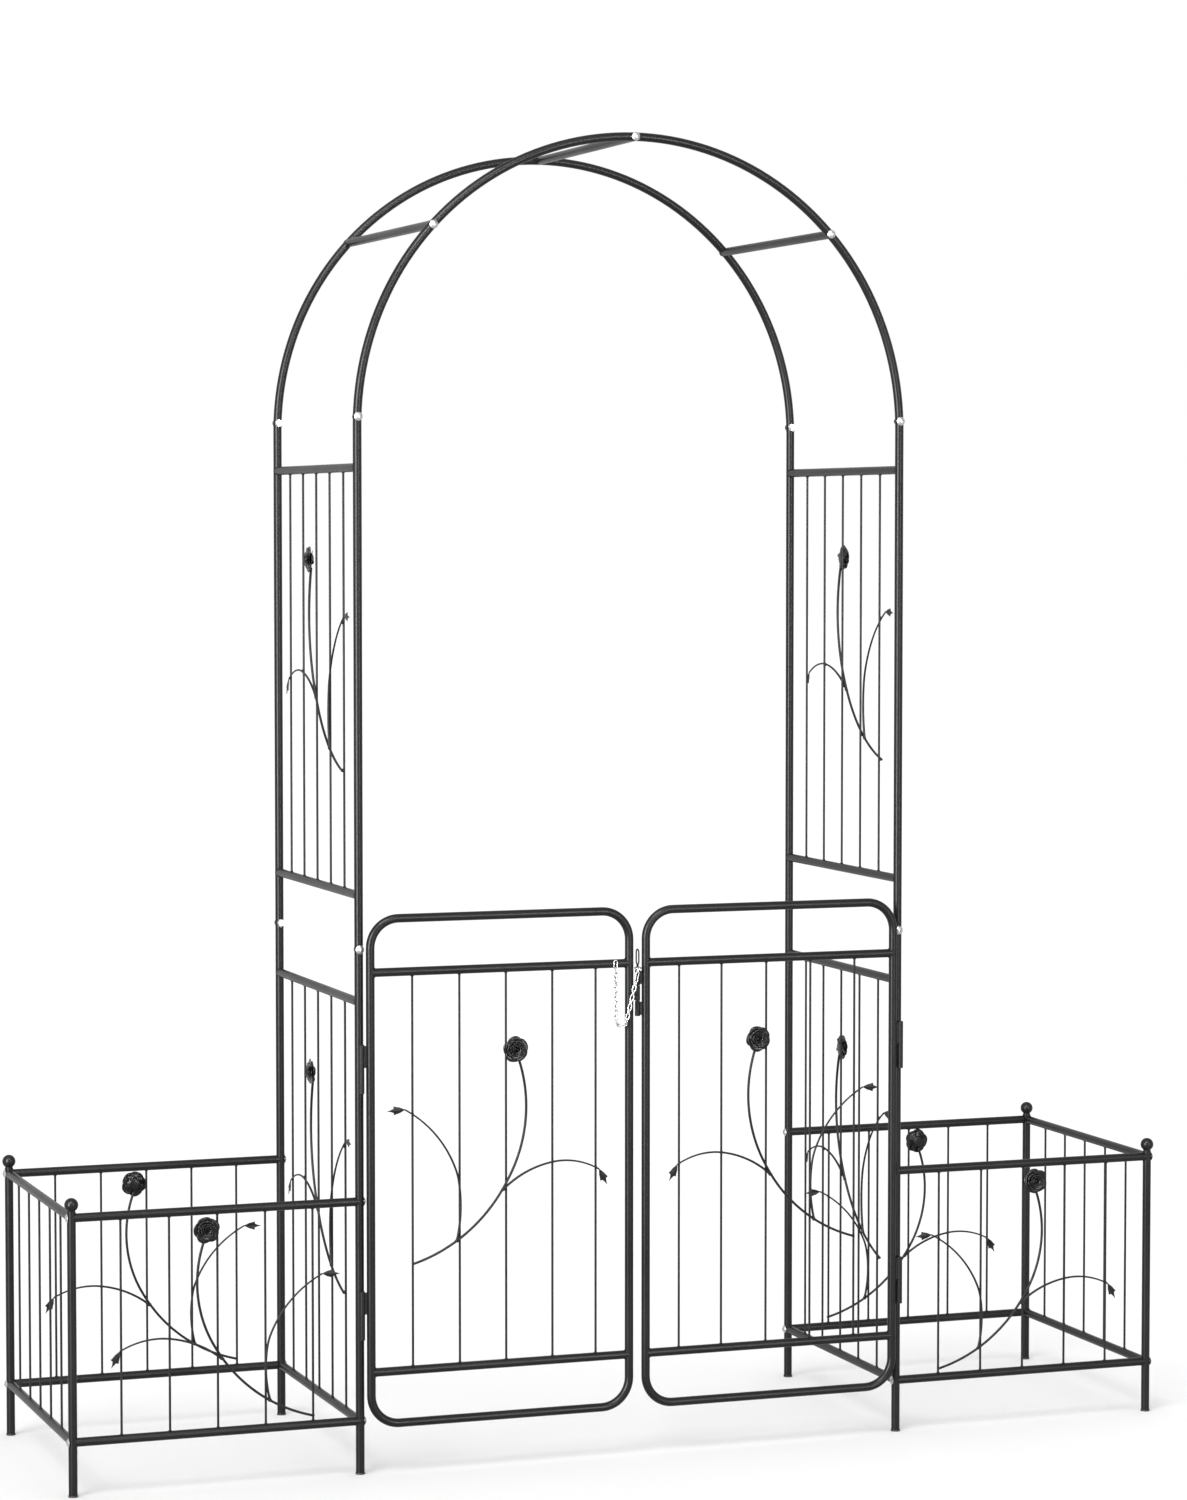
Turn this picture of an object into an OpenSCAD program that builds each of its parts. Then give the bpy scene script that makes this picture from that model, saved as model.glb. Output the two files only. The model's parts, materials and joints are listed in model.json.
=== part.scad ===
// Metal trellis arch: a garden arch of round steel tube with a pair of
// gates, a latch pin on a chain, and an open planter frame on each side.
// Millimetres, +Z up. The origin is on the ground, in the middle of the
// overall box. -Y is the front, where the gates hang. X is the width.

/* [Arch] */
// distance between the arch posts, centre to centre
arch_width = 1000; // [800:10:1400]
// distance from the front posts to the back posts, centre to centre
depth = 504; // [400:2:700]
// height of the centre of the half circle
spring_z = 1791; // [1600:1:2000]
// height of the bolted joint from lower to upper post
post_joint_z = 902; // [800:1:1000]
// angle of the side crossbars above the spring line
crossbar_angle = 43; // [30:1:60]

/* [Tube and wire] */
// outside diameter of every frame tube
tube_d = 15; // [12:0.5:19]
// wall of the frame tube
tube_wall = 1; // [0.8:0.1:1.5]
// diameter of the panel wires
wire_d = 4; // [2.5:0.1:5]
// diameter of the rose stems
stem_d = 4.6; // [3:0.1:6]

/* [Side panels] */
// height of the lower panel's bottom rail
low_rail_z = 92; // [60:1:150]
// height of the lower panel's top rail
mid_rail_z = 812; // [700:1:860]
// height of the upper panel's bottom rail
upper_rail_z = 994; // [930:1:1100]
// height of the upper panel's top rail
top_rail_z = 1720; // [1500:1:1770]

/* [Planters] */
// length of each planter, centre to centre
planter_len = 500; // [400:10:800]
// height of the planter's top rail
planter_rail_z = 470; // [350:1:600]
// height of the planter's outer posts
planter_post_z = 480; // [360:1:620]
// diameter of the ball finials
ball_d = 23.5; // [18:0.5:35]

/* [Gates] */
// how far the gates hang in front of the posts
gate_off = 16; // [14:0.5:25]
// from the hinge axis to the middle of the hinge stile
hinge_gap = 15.5; // [13:0.5:20]
// from the middle of the arch to the middle of the meeting stile
meet_gap = 15.5; // [12:0.5:20]
// height of the middle of the gate's bottom tube
gate_bottom_z = 87; // [60:1:150]
// height of the middle of the gate's top tube
gate_top_z = 954.5; // [800:0.5:1100]
// bend radius of the gate's corners
gate_bend = 50; // [30:1:80]
// height of the lower crossbar
gate_low_z = 177; // [130:1:250]
// height of the upper crossbar
gate_high_z = 863; // [750:1:1000]

/* [Hinges and latch] */
// outside diameter of the hinge knuckles and latch barrels
barrel_d = 9; // [8:0.5:12]
// diameter of the hinge pins
hinge_pin_d = 5; // [4:0.5:7]
// diameter of the latch pin
latch_pin_d = 4; // [3:0.5:6]
// length of each hinge knuckle
knuckle_len = 41.5; // [30:0.5:60]
// length of each latch barrel
latch_len = 26; // [18:0.5:40]

/* [Hidden] */
$fn = 48;
paint = [0.16, 0.17, 0.18];
zinc = [0.72, 0.74, 0.76];
black = [0.08, 0.08, 0.08];
eps = 0.05;
tr = tube_d / 2;
ti = tr - tube_wall;
wr = wire_d / 2;
sr = stem_d / 2;
ax = arch_width / 2;
// the gates stand forward, so the frame sits this far behind the origin
y_mid = 8;
yf = y_mid - depth / 2;
yb = y_mid + depth / 2;
yg = yf - gate_off;
px = ax + planter_len;
arch_r = ax;
cap_h = 3;
// swaged ends
swage_r = 6.4;
swage_i = 5.4;
swage_len = 45;
joint_up = 15;
joint_a = asin(2 * joint_up / arch_r);
bolt_a = asin(joint_up / arch_r);
apex_a = 1.72;
// M6 bolts
bolt_r = 3;
hole_r = 3.3;
head_r = 7.5;
head_h = 3.6;
insert_len = 20;
grip = 18;
// wires
panel_step = depth / 6;
planter_step = planter_len / 6;
gate_wire_x = [77.5, 157, 241.5, 325.5, 410];
// stems and roses: a point is [across, up] from the middle of the rose
short_tip = [-149.5, -197];
long_tip = [203, -87];
short_leaf_a = 242;
long_leaf_a = -3;
stem_off = wr + sr + eps;
rose_r = 24;
rose_h = 14;
stem_arcs = [
  [[-1.8, -14], [-15, -110], [18.5, -207], 0],
  [[18.5, -207], [75, -273], [187.5, -330], 0],
  [[26.5, -221], [-27, -190.5], [-76, -180], 0.15],
  [[-76, -180], [-112, -183], short_tip, 0.15],
  [[110, -298], [103, -245], [108, -195], 0.15],
  [[108, -195], [146.5, -130], long_tip, 0.15]
];
// where two bends meet, with a small swelling
stem_joins = [[[18.5, -207], 0.2], [[-76, -180], 0.05], [[108, -195], 0.05]];
bend_gap = 0.3;
tall = 1.095;
planter_rose = [-20.5, 438];
gate_rose = [222, 722];
// each gate's rose is welded a little outside the top of its stem
rose_out_left = 4.5;
rose_out_right = 1;
side_rose_low = [17, 660];
side_rose_up = [17, 1563];
// hinges
pin_r = hinge_pin_d / 2;
barrel_r = barrel_d / 2;
hinge_low_z = 234;
hinge_high_z = 657;
// latch
latch_z = 770;
latch_pitch = 27;
// chain
link_pitch = 8.3;
link_r = 1;
link_w = 3;
link_slack = 0.35;
anchor_x = -43.5;
anchor_z = gate_high_z - 1;
anchor_half = 4.5;
anchor_y = yg - tr - link_r - 0.03;

// ---------- helpers ----------

// solid bar between two heights
module bar_z(x, y, z0, z1, r) {
  translate([x, y, z0]) cylinder(r = r, h = z1 - z0);
}

// solid bar along X
module bar_x(x0, x1, y, z, r) {
  translate([x0, y, z]) rotate([0, 90, 0]) cylinder(r = r, h = x1 - x0);
}

// solid bar along Y
module bar_y(x, y0, y1, z, r) {
  translate([x, y0, z]) rotate([-90, 0, 0]) cylinder(r = r, h = y1 - y0);
}

// upright tube
module tube_z(x, y, z0, z1, ro, ri) {
  difference() {
    bar_z(x, y, z0, z1, ro);
    bar_z(x, y, z0 - 1, z1 + 1, ri);
  }
}

// mirrored copy on the left, plain on the right
module side(s) {
  if (s < 0) mirror([1, 0, 0]) children();
  else children();
}

// faces -Y: local x is X, local y is Z, local z comes out of the panel
module face_front(y) {
  translate([0, y, 0]) rotate([90, 0, 0]) children();
}

// faces +Y, without turning left into right
module face_back(y) {
  translate([0, y, 0]) mirror([0, 1, 0]) rotate([90, 0, 0]) children();
}

// faces +X: local x is Y
module face_right(x) {
  translate([x, y_mid, 0]) rotate([90, 0, 90]) children();
}

// middle of the circle through three points
function mid3(a, b, c) =
  let (d = 2 * (a[0] * (b[1] - c[1]) + b[0] * (c[1] - a[1]) + c[0] * (a[1] - b[1])))
  let (qa = a * a, qb = b * b, qc = c * c)
  [
    (qa * (b[1] - c[1]) + qb * (c[1] - a[1]) + qc * (a[1] - b[1])) / d,
    (qa * (c[0] - b[0]) + qb * (a[0] - c[0]) + qc * (b[0] - a[0])) / d
  ];

function turn(a) = a < 0 ? a + 360 : a;

// round bar bent through three points of the local XY plane
module arc3(a, b, c, r) {
  m = mid3(a, b, c);
  rad = norm(a - m);
  ta = atan2(a[1] - m[1], a[0] - m[0]);
  tc = atan2(c[1] - m[1], c[0] - m[0]);
  left_turn = (b[0] - a[0]) * (c[1] - b[1]) - (b[1] - a[1]) * (c[0] - b[0]) > 0;
  trim = bend_gap / rad * 180 / PI;
  start = (left_turn ? ta : tc) + trim;
  sweep = (left_turn ? turn(tc - ta) : turn(ta - tc)) - 2 * trim;
  translate([m[0], m[1], 0])
    rotate([0, 0, start])
      rotate_extrude(angle = sweep)
        translate([rad, 0]) circle(r = r);
}

// part of the arch's half circle at depth y, from angle a0 to a1, on the right
module arch_arc(y, a0, a1, ro, ri) {
  translate([0, y, spring_z])
    rotate([90, 0, 0])
      rotate([0, 0, a0])
        rotate_extrude(angle = a1 - a0)
          translate([arch_r, 0])
            difference() {
              circle(r = ro);
              if (ri > 0) circle(r = ri);
            }
}

// place on the arch at angle a, axis along Y
function on_arch(a) = [arch_r * cos(a), spring_z + arch_r * sin(a)];

// M6 bolt: head on the XY plane, shank going down
module bolt(shank) {
  big = (head_r * head_r + head_h * head_h) / (2 * head_h);
  difference() {
    intersection() {
      translate([0, 0, head_h - big]) sphere(r = big);
      cylinder(r = head_r + 1, h = head_h + 1);
    }
    translate([0, 0, head_h - 1.9]) cylinder(d = 4.6, h = 3, $fn = 6);
  }
  translate([0, 0, -shank]) cylinder(r = bolt_r, h = shank + 0.5);
}

// M6 flange nut sitting on the XY plane
module nut() {
  difference() {
    union() {
      cylinder(r = 6.5, h = 1.2);
      translate([0, 0, 1]) cylinder(d = 11.5, h = 4.2, $fn = 6);
    }
    translate([0, 0, -1]) cylinder(r = bolt_r + 0.05, h = 8);
  }
}

// ---------- rose and leaf ----------

// three rings of petals round a bud, on a calyx; back on the XY plane
module rose() {
  difference() {
    rotate_extrude()
      polygon([
        [0, 0], [10.5, 0], [14, 5.4], [22.8, 6.2], [rose_r, 7.8], [22.6, 9.6], [20, 9.4], [18, 8],
        [16.8, 8.6], [16, 11.2], [13.9, 12.3], [12, 11.6], [10.5, 9.8], [9.4, 10.2],
        [8.6, 13], [6.5, rose_h], [4.5, 13.3], [3.5, 11.6], [0, 11.2]
      ]);
    for (i = [0:4]) {
      rotate([0, 0, 72 * i + 54]) translate([rose_r + 1.9, 0, -1]) cylinder(r = 3.6, h = rose_h + 2);
    }
  }
}

// three-lobed leaf, stalk at the origin, pointing along +X
module leaf() {
  translate([0, 0, -0.8]) linear_extrude(height = 1.6)
    polygon([
      [0.8, -0.9], [4, -2.4], [9, -4.8], [15, -6.2], [19.5, -7.8], [20.3, -3.6], [25, -1.7],
      [31, 0], [25, 1.7], [20.3, 3.6], [19.5, 7.8], [15, 6.2], [9, 4.8], [4, 2.4], [0.8, 0.9]
    ]);
}

function put(p, at, s, k) = [at[0] + s * p[0], at[1] + k * p[1]];

// stem with its two branches, in the local XY plane; s = -1 swaps left and right.
// The plane through its bars mirrors them onto themselves: flip = true draws them from behind
module stem(at, s, k, flip) {
  translate([0, 0, stem_off]) mirror([0, 0, flip ? 1 : 0]) {
    for (arc = stem_arcs) {
      arc3(put(arc[0], at, s, k), put(arc[1], at, s, k), put(arc[2], at, s, k), sr - arc[3]);
    }
    for (join = stem_joins) {
      q = put(join[0], at, s, k);
      translate([q[0], q[1], 0]) sphere(r = sr + join[1]);
    }
  }
}

module rose_at(at) {
  translate([at[0], at[1], wr + eps]) rose();
}

// one leaf at the tip of each branch
module leaves(at, s, k) {
  tip1 = put(short_tip, at, s, k);
  tip2 = put(long_tip, at, s, k);
  translate([tip1[0], tip1[1], stem_off]) rotate([0, 0, s > 0 ? short_leaf_a : 180 - short_leaf_a]) leaf();
  translate([tip2[0], tip2[1], stem_off]) rotate([0, 0, s > 0 ? long_leaf_a : 180 - long_leaf_a]) leaf();
}

// ---------- side frames, drawn on the right ----------

// rail along Y between two posts; a bolt through a post also clears the rail's tips
module rail_y(x, z, bolted) {
  difference() {
    bar_y(x, yf, yb, z, tr);
    bar_y(x, yf - 1, yb + 1, z, ti);
    for (y = [yf, yb]) {
      bar_z(x, y, z - 20, z + 20, tr + eps);
      if (bolted) bar_x(x - 10, x + 10, y, z, hole_r);
    }
  }
}

module lower_frame() {
  for (y = [yf, yb]) {
    difference() {
      tube_z(ax, y, cap_h, post_joint_z + joint_up, tr, ti);
      bar_y(ax, y - 10, y + 10, post_joint_z, hole_r);
      bar_x(ax - 10, ax + 10, y, low_rail_z, hole_r);
      bar_x(ax - 10, ax + 10, y, planter_rail_z, hole_r);
    }
  }
  rail_y(ax, low_rail_z, true);
  rail_y(ax, mid_rail_z, false);
}

module upper_frame() {
  z0 = post_joint_z + joint_up;
  for (y = [yf, yb]) {
    difference() {
      union() {
        tube_z(ax, y, z0, spring_z, tr, ti);
        tube_z(ax, y, z0, z0 + 1.5, tr, swage_i);
        tube_z(ax, y, z0 - swage_len, z0 + 1.5, swage_r, swage_i);
        arch_arc(y, 0, joint_a, tr, ti);
      }
      bar_y(ax, y - 10, y + 10, post_joint_z, hole_r);
      bar_y(on_arch(bolt_a)[0], y - 10, y + 10, on_arch(bolt_a)[1], hole_r);
    }
  }
  rail_y(ax, upper_rail_z, false);
  rail_y(ax, top_rail_z, false);
}

module side_stem(s, at) {
  side(s) face_right(ax) stem(at, -1, tall, s > 0);
}

module side_wires(x, z0, z1) {
  for (i = [-2:2]) {
    bar_z(x, y_mid + i * panel_step, z0 + tr + 0.02, z1 - tr - 0.02, wr);
  }
}

// ---------- planters, drawn on the right ----------

module planter_end() {
  for (y = [yf, yb]) {
    difference() {
      tube_z(px, y, cap_h, planter_post_z, tr, ti);
      bar_x(px - 10, px + 10, y, low_rail_z, hole_r);
      bar_x(px - 10, px + 10, y, planter_rail_z, hole_r);
    }
  }
  rail_y(px, low_rail_z, true);
  rail_y(px, planter_rail_z, true);
}

// rail along X; its inner corners make room for the rails along Y
module rail_x(y, z) {
  inward = y < y_mid ? 1 : -1;
  difference() {
    bar_x(ax, px, y, z, tr);
    bar_x(ax - 1, px + 1, y, z, ti);
    bar_z(ax, y, z - 20, z + 20, tr + eps);
    bar_z(px, y, z - 20, z + 20, tr + eps);
    for (x = [ax, px]) {
      if (x == px || z == low_rail_z)
        translate([x, y + inward * 10, z]) cube([2 * tr + 2 * eps, 20, 40], center = true);
    }
  }
}

module planter_rails() {
  for (y = [yf, yb]) {
    rail_x(y, low_rail_z);
    rail_x(y, planter_rail_z);
  }
}

module planter_wires() {
  for (y = [yf, yb]) {
    for (i = [-2:2]) {
      bar_z((ax + px) / 2 + i * planter_step, y, low_rail_z + tr + 0.02, planter_rail_z - tr - 0.02, wr);
    }
  }
}

module on_planter() {
  translate([(ax + px) / 2, 0, 0]) children();
}

module planter_stems(s) {
  side(s) {
    on_planter() face_front(yf) stem([-planter_rose[0], planter_rose[1]], -1, 1, s > 0);
    on_planter() face_back(yb) stem([-planter_rose[0], planter_rose[1]], -1, 1, s < 0);
  }
}

// ---------- arch ----------

module arch_holes(y) {
  for (a = [bolt_a, crossbar_angle, 90]) {
    bar_y(on_arch(a)[0], y - 10, y + 10, on_arch(a)[1], hole_r);
  }
}

// swaged foot and the bend above it; bore = true gives the hollow inside
module quarter_solid(y, a1, bore) {
  wide = bore ? ti : tr;
  thin = bore ? swage_i : swage_r;
  step = bore ? 0.17 : 0;
  over = bore ? 1 : 0;
  bar_z(ax, y, spring_z - 20 - over, spring_z, thin);
  arch_arc(y, 0, joint_a + 0.3, thin, 0);
  arch_arc(y, joint_a + step, a1, wide, 0);
}

// the right quarter slides into the left one at the top
module quarter_right(y) {
  difference() {
    union() {
      quarter_solid(y, 90 - apex_a, false);
      arch_arc(y, 90 - apex_a - 0.3, 90 + 2 * apex_a, swage_r, 0);
    }
    quarter_solid(y, 90 - apex_a - 0.17, true);
    arch_arc(y, 90 - apex_a - 0.4, 90 + 2 * apex_a + 0.1, swage_i, 0);
    arch_holes(y);
  }
}

module quarter_left(y) {
  mirror([1, 0, 0]) difference() {
    quarter_solid(y, 90 + apex_a, false);
    quarter_solid(y, 90 + apex_a + 0.1, true);
    arch_holes(y);
  }
}

// tube along Y from arch to arch, cut to fit against both
module crossbar(a) {
  p = on_arch(a);
  difference() {
    bar_y(p[0], yf, yb, p[1], tr);
    bar_y(p[0], yf - 1, yb + 1, p[1], ti);
    arch_arc(yf, a - 4, a + 4, tr + eps, 0);
    arch_arc(yb, a - 4, a + 4, tr + eps, 0);
  }
}

module crossbars() {
  crossbar(crossbar_angle);
  crossbar(90);
  crossbar(180 - crossbar_angle);
}

// ---------- fasteners and plugs ----------

module bolt_front(x, y, z, shank) {
  translate([x, y - tr - 0.02, z]) rotate([90, 0, 0]) bolt(shank);
}

module bolt_back(x, y, z, shank) {
  translate([x, y + tr + 0.02, z]) rotate([-90, 0, 0]) bolt(shank);
}

// the eight bolts through the swaged joints, heads outside, nuts inside
module swage_bolts() {
  p = on_arch(bolt_a);
  len = 2 * tr + 6.4;
  for (s = [-1, 1]) {
    bolt_front(s * ax, yf, post_joint_z, len);
    bolt_front(s * p[0], yf, p[1], len);
    bolt_back(s * ax, yb, post_joint_z, len);
    bolt_back(s * p[0], yb, p[1], len);
  }
}

module swage_nuts() {
  p = on_arch(bolt_a);
  for (s = [-1, 1]) {
    for (q = [[s * ax, post_joint_z], [s * p[0], p[1]]]) {
      translate([q[0], yf + tr + 0.02, q[1]]) rotate([-90, 0, 0]) nut();
      translate([q[0], yb - tr - 0.02, q[1]]) rotate([90, 0, 0]) nut();
    }
  }
}

// the bolts into the ends of the crossbars and planter rails
module end_bolts() {
  len = 2 * tr + grip;
  for (a = [crossbar_angle, 90, 180 - crossbar_angle]) {
    bolt_front(on_arch(a)[0], yf, on_arch(a)[1], len);
    bolt_back(on_arch(a)[0], yb, on_arch(a)[1], len);
  }
  for (s = [-1, 1]) {
    side(s) for (y = [yf, yb]) {
      for (z = [low_rail_z, planter_rail_z]) {
        translate([px + tr + 0.02, y, z]) rotate([0, 90, 0]) bolt(len);
        translate([ax - tr - 0.02, y, z]) rotate([0, -90, 0]) bolt(len);
      }
    }
  }
}

// threaded plug, mouth on the XY plane, body going up
module insert_plug() {
  difference() {
    cylinder(r = ti - eps, h = insert_len);
    translate([0, 0, -1]) cylinder(r = bolt_r + eps, h = insert_len - 0.5);
  }
}

module plugs() {
  for (a = [crossbar_angle, 90, 180 - crossbar_angle]) {
    translate([on_arch(a)[0], yf + tr + 0.2, on_arch(a)[1]]) rotate([-90, 0, 0]) insert_plug();
    translate([on_arch(a)[0], yb - tr - 0.2, on_arch(a)[1]]) rotate([90, 0, 0]) insert_plug();
  }
  for (s = [-1, 1]) {
    side(s) for (y = [yf, yb]) {
      for (z = [low_rail_z, planter_rail_z]) {
        translate([px - tr - 0.2, y, z]) rotate([0, -90, 0]) insert_plug();
        translate([ax + tr + 0.2, y, z]) rotate([0, 90, 0]) insert_plug();
      }
    }
  }
}

module finials() {
  for (x = [-px, px]) {
    for (y = [yf, yb]) {
      translate([x, y, planter_post_z + 12]) sphere(d = ball_d);
      bar_z(x, y, planter_post_z, planter_post_z + 5, tr - 0.8);
      bar_z(x, y, planter_post_z - 5.5, planter_post_z, ti - eps);
    }
  }
}

module caps() {
  for (x = [-px, -ax, ax, px]) {
    for (y = [yf, yb]) {
      bar_z(x, y, 0, cap_h, tr + 0.7);
      bar_z(x, y, cap_h, 18, ti - eps);
    }
  }
}

// ---------- roses and leaves of the fixed panels ----------

module fixed_roses() {
  for (s = [-1, 1]) {
    side(s) {
      on_planter() face_front(yf) rose_at([-planter_rose[0], planter_rose[1]]);
      on_planter() face_back(yb) rose_at([-planter_rose[0], planter_rose[1]]);
      face_right(ax) rose_at(side_rose_low);
      face_right(ax) rose_at(side_rose_up);
    }
  }
}

module fixed_leaves() {
  for (s = [-1, 1]) {
    side(s) {
      on_planter() face_front(yf) leaves([-planter_rose[0], planter_rose[1]], -1, 1);
      on_planter() face_back(yb) leaves([-planter_rose[0], planter_rose[1]], -1, 1);
      face_right(ax) leaves(side_rose_low, -1, tall);
      face_right(ax) leaves(side_rose_up, -1, tall);
    }
  }
}

// ---------- hinges, drawn on the right ----------

module post_knuckles() {
  for (s = [-1, 1]) {
    side(s) for (z = [hinge_low_z, hinge_high_z]) {
      difference() {
        union() {
          bar_z(ax, yg, z, z + knuckle_len, barrel_r);
          translate([ax - 1.5, yg, z + 2]) cube([3, gate_off, knuckle_len - 4]);
        }
        bar_z(ax, yg, z - 1, z + knuckle_len + 1, pin_r + 0.01);
        bar_z(ax, yf, z - 1, z + knuckle_len + 1, tr + eps);
      }
    }
  }
}

module pins() {
  for (s = [-1, 1]) {
    for (z = [hinge_low_z, hinge_high_z]) {
      bar_z(s * ax, yg, z + 1, z + 2 * knuckle_len - 1, pin_r);
    }
  }
}

module gate_knuckles_one() {
  for (h = [hinge_low_z, hinge_high_z]) {
    z = h + knuckle_len + 0.5;
    difference() {
      union() {
        bar_z(ax, yg, z, z + knuckle_len, barrel_r);
        translate([ax - hinge_gap, yg - 1.5, z + 2]) cube([hinge_gap, 3, knuckle_len - 4]);
      }
      bar_z(ax, yg, z - 1, z + knuckle_len + 1, pin_r + 0.05);
      bar_z(ax - hinge_gap, yg, z - 1, z + knuckle_len + 1, tr + eps);
    }
  }
}

// ---------- gates, drawn on the right ----------

gx0 = meet_gap;
gx1 = ax - hinge_gap;

module gate_solid(r) {
  bend = gate_bend;
  bar_z(gx0, yg, gate_bottom_z + bend, gate_top_z - bend, r);
  bar_z(gx1, yg, gate_bottom_z + bend, gate_top_z - bend, r);
  bar_x(gx0 + bend, gx1 - bend, yg, gate_bottom_z, r);
  bar_x(gx0 + bend, gx1 - bend, yg, gate_top_z, r);
  for (c = [[gx1 - bend, gate_top_z - bend, 0], [gx0 + bend, gate_top_z - bend, 90],
            [gx0 + bend, gate_bottom_z + bend, 180], [gx1 - bend, gate_bottom_z + bend, 270]]) {
    translate([c[0], yg, c[1]])
      rotate([90, 0, 0])
        rotate([0, 0, c[2]])
          rotate_extrude(angle = 90)
            translate([bend, 0]) circle(r = r);
  }
}

module gate_frame_one() {
  difference() {
    gate_solid(tr);
    gate_solid(ti);
  }
}

module gate_crossbars_one() {
  for (z = [gate_low_z, gate_high_z]) {
    difference() {
      bar_x(gx0, gx1, yg, z, tr);
      bar_x(gx0 - 1, gx1 + 1, yg, z, ti);
      bar_z(gx0, yg, z - 20, z + 20, tr + eps);
      bar_z(gx1, yg, z - 20, z + 20, tr + eps);
    }
  }
}

module gate_wires_one() {
  for (x = gate_wire_x) {
    bar_z(x, yg, gate_low_z + tr + 0.02, gate_high_z - tr - 0.02, wr);
  }
}

module gate_stem(s) {
  side(s) face_front(yg) stem(gate_rose, 1, tall, s > 0);
}

module gate_rose_one(out) {
  face_front(yg) rose_at([gate_rose[0] + out, gate_rose[1]]);
}

module gate_leaves_one() {
  face_front(yg) leaves(gate_rose, 1, tall);
}

// ---------- latch ----------

module latch_barrel(z, toward) {
  difference() {
    union() {
      bar_z(0, yg, z, z + latch_len, barrel_r);
      translate([toward > 0 ? 0 : -meet_gap, yg - 1.5, z + 1.5]) cube([meet_gap, 3, latch_len - 3]);
    }
    bar_z(0, yg, z - 1, z + latch_len + 1, latch_pin_d / 2 + 0.08);
    bar_z(toward * meet_gap, yg, z - 1, z + latch_len + 1, tr + eps);
  }
}

latch_top = latch_z + 2 * latch_pitch + latch_len;

// drop pin with a collar and a long loop to lift it by
module drop_pin() {
  pr = latch_pin_d / 2;
  neck = latch_top + 10;
  loop_w = 6.5;
  loop_h = 20;
  bar_z(0, yg, latch_z + 2, neck, pr);
  bar_z(0, yg, latch_top + 0.3, latch_top + 1.5, 3.6);
  translate([0, yg, neck + loop_w]) {
    for (q = [[0, 180], [loop_h - loop_w, 0]]) {
      translate([0, 0, q[0]])
        rotate([90, 0, 90])
          rotate([0, 0, q[1]])
            rotate_extrude(angle = 180)
              translate([loop_w, 0]) circle(r = 1.25);
    }
    for (y = [-loop_w, loop_w]) {
      translate([0, y, 0]) cylinder(r = 1.25, h = loop_h - loop_w);
    }
  }
}

// ring round the neck of the pin, tipped forward
module ring_on_neck() {
  translate([0, yg - 2.9, latch_top + 4.2])
    rotate([2, 0, 0])
      rotate_extrude() translate([6.2, 0]) circle(r = 1);
}

// chain link in the local XZ plane, long way along X, middle at the origin
module link(half) {
  for (s = [-1, 1]) {
    translate([-half, 0, s * link_w]) rotate([0, 90, 0]) cylinder(r = link_r, h = 2 * half);
    translate([s * half, 0, 0])
      rotate([90, 0, 0])
        rotate([0, 0, s > 0 ? -90 : 90])
          rotate_extrude(angle = 180)
            translate([link_w, 0]) circle(r = link_r);
  }
}

// link welded flat on the front of the upper crossbar
module anchor_link() {
  translate([anchor_x, anchor_y, anchor_z]) rotate([0, 90, 0]) link(anchor_half);
}

// the chain hangs straight down from the anchor link, turns at the bottom
// and runs up to the ring, passing in front of the meeting stile
links = 26;
link_half = link_pitch / 2 + link_r + link_slack - link_w;

// direction of one link in the upright plane of the gate
function link_dir(i) = i < 11 ? -90 : i < 12 ? -66 : i < 13 ? -18 : i < 14 ? 32 : 76;

// lean of one link towards the front (negative) or the back
function link_lean(i) = i >= 6 && i < 13 ? -2.4 : i >= 23 ? 4 : 0;

// roll of one link about the run of the chain; the last links turn to face the ring
function link_roll(i) = (i % 2 == 0 ? 90 : 0) - min(45, 11 * i) - max(0, 15 * (i - 22));

function link_step(i) = link_pitch * [
  cos(link_lean(i)) * cos(link_dir(i)),
  sin(link_lean(i)),
  cos(link_lean(i)) * sin(link_dir(i))
];

// start of link i
function link_at(i) = i == 0
  ? [anchor_x, anchor_y, anchor_z - anchor_half - link_w + link_r + link_slack]
  : link_at(i - 1) + link_step(i - 1);

module chain() {
  for (i = [0:links - 1]) {
    translate(link_at(i) + link_step(i) / 2)
      rotate([0, -link_dir(i), 0])
        rotate([0, 0, link_lean(i)])
          rotate([link_roll(i), 0, 0])
            link(link_half);
  }
}

// ---------- parts ----------

module lower_frame_left() {
  color(paint) side(-1) lower_frame();
}

module lower_frame_right() {
  color(paint) side(1) lower_frame();
}

module lower_wires_left() {
  color(paint) side(-1) side_wires(ax, low_rail_z, mid_rail_z);
}

module lower_wires_right() {
  color(paint) side(1) side_wires(ax, low_rail_z, mid_rail_z);
}

module lower_stem_left() {
  color(paint) side_stem(-1, side_rose_low);
}

module lower_stem_right() {
  color(paint) side_stem(1, side_rose_low);
}

module upper_frame_left() {
  color(paint) side(-1) upper_frame();
}

module upper_frame_right() {
  color(paint) side(1) upper_frame();
}

module upper_wires_left() {
  color(paint) side(-1) side_wires(ax, upper_rail_z, top_rail_z);
}

module upper_wires_right() {
  color(paint) side(1) side_wires(ax, upper_rail_z, top_rail_z);
}

module upper_stem_left() {
  color(paint) side_stem(-1, side_rose_up);
}

module upper_stem_right() {
  color(paint) side_stem(1, side_rose_up);
}

module planter_end_left() {
  color(paint) side(-1) planter_end();
}

module planter_end_right() {
  color(paint) side(1) planter_end();
}

module planter_end_wires_left() {
  color(paint) side(-1) side_wires(px, low_rail_z, planter_rail_z);
}

module planter_end_wires_right() {
  color(paint) side(1) side_wires(px, low_rail_z, planter_rail_z);
}

module planter_rails_left() {
  color(paint) side(-1) planter_rails();
}

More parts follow.
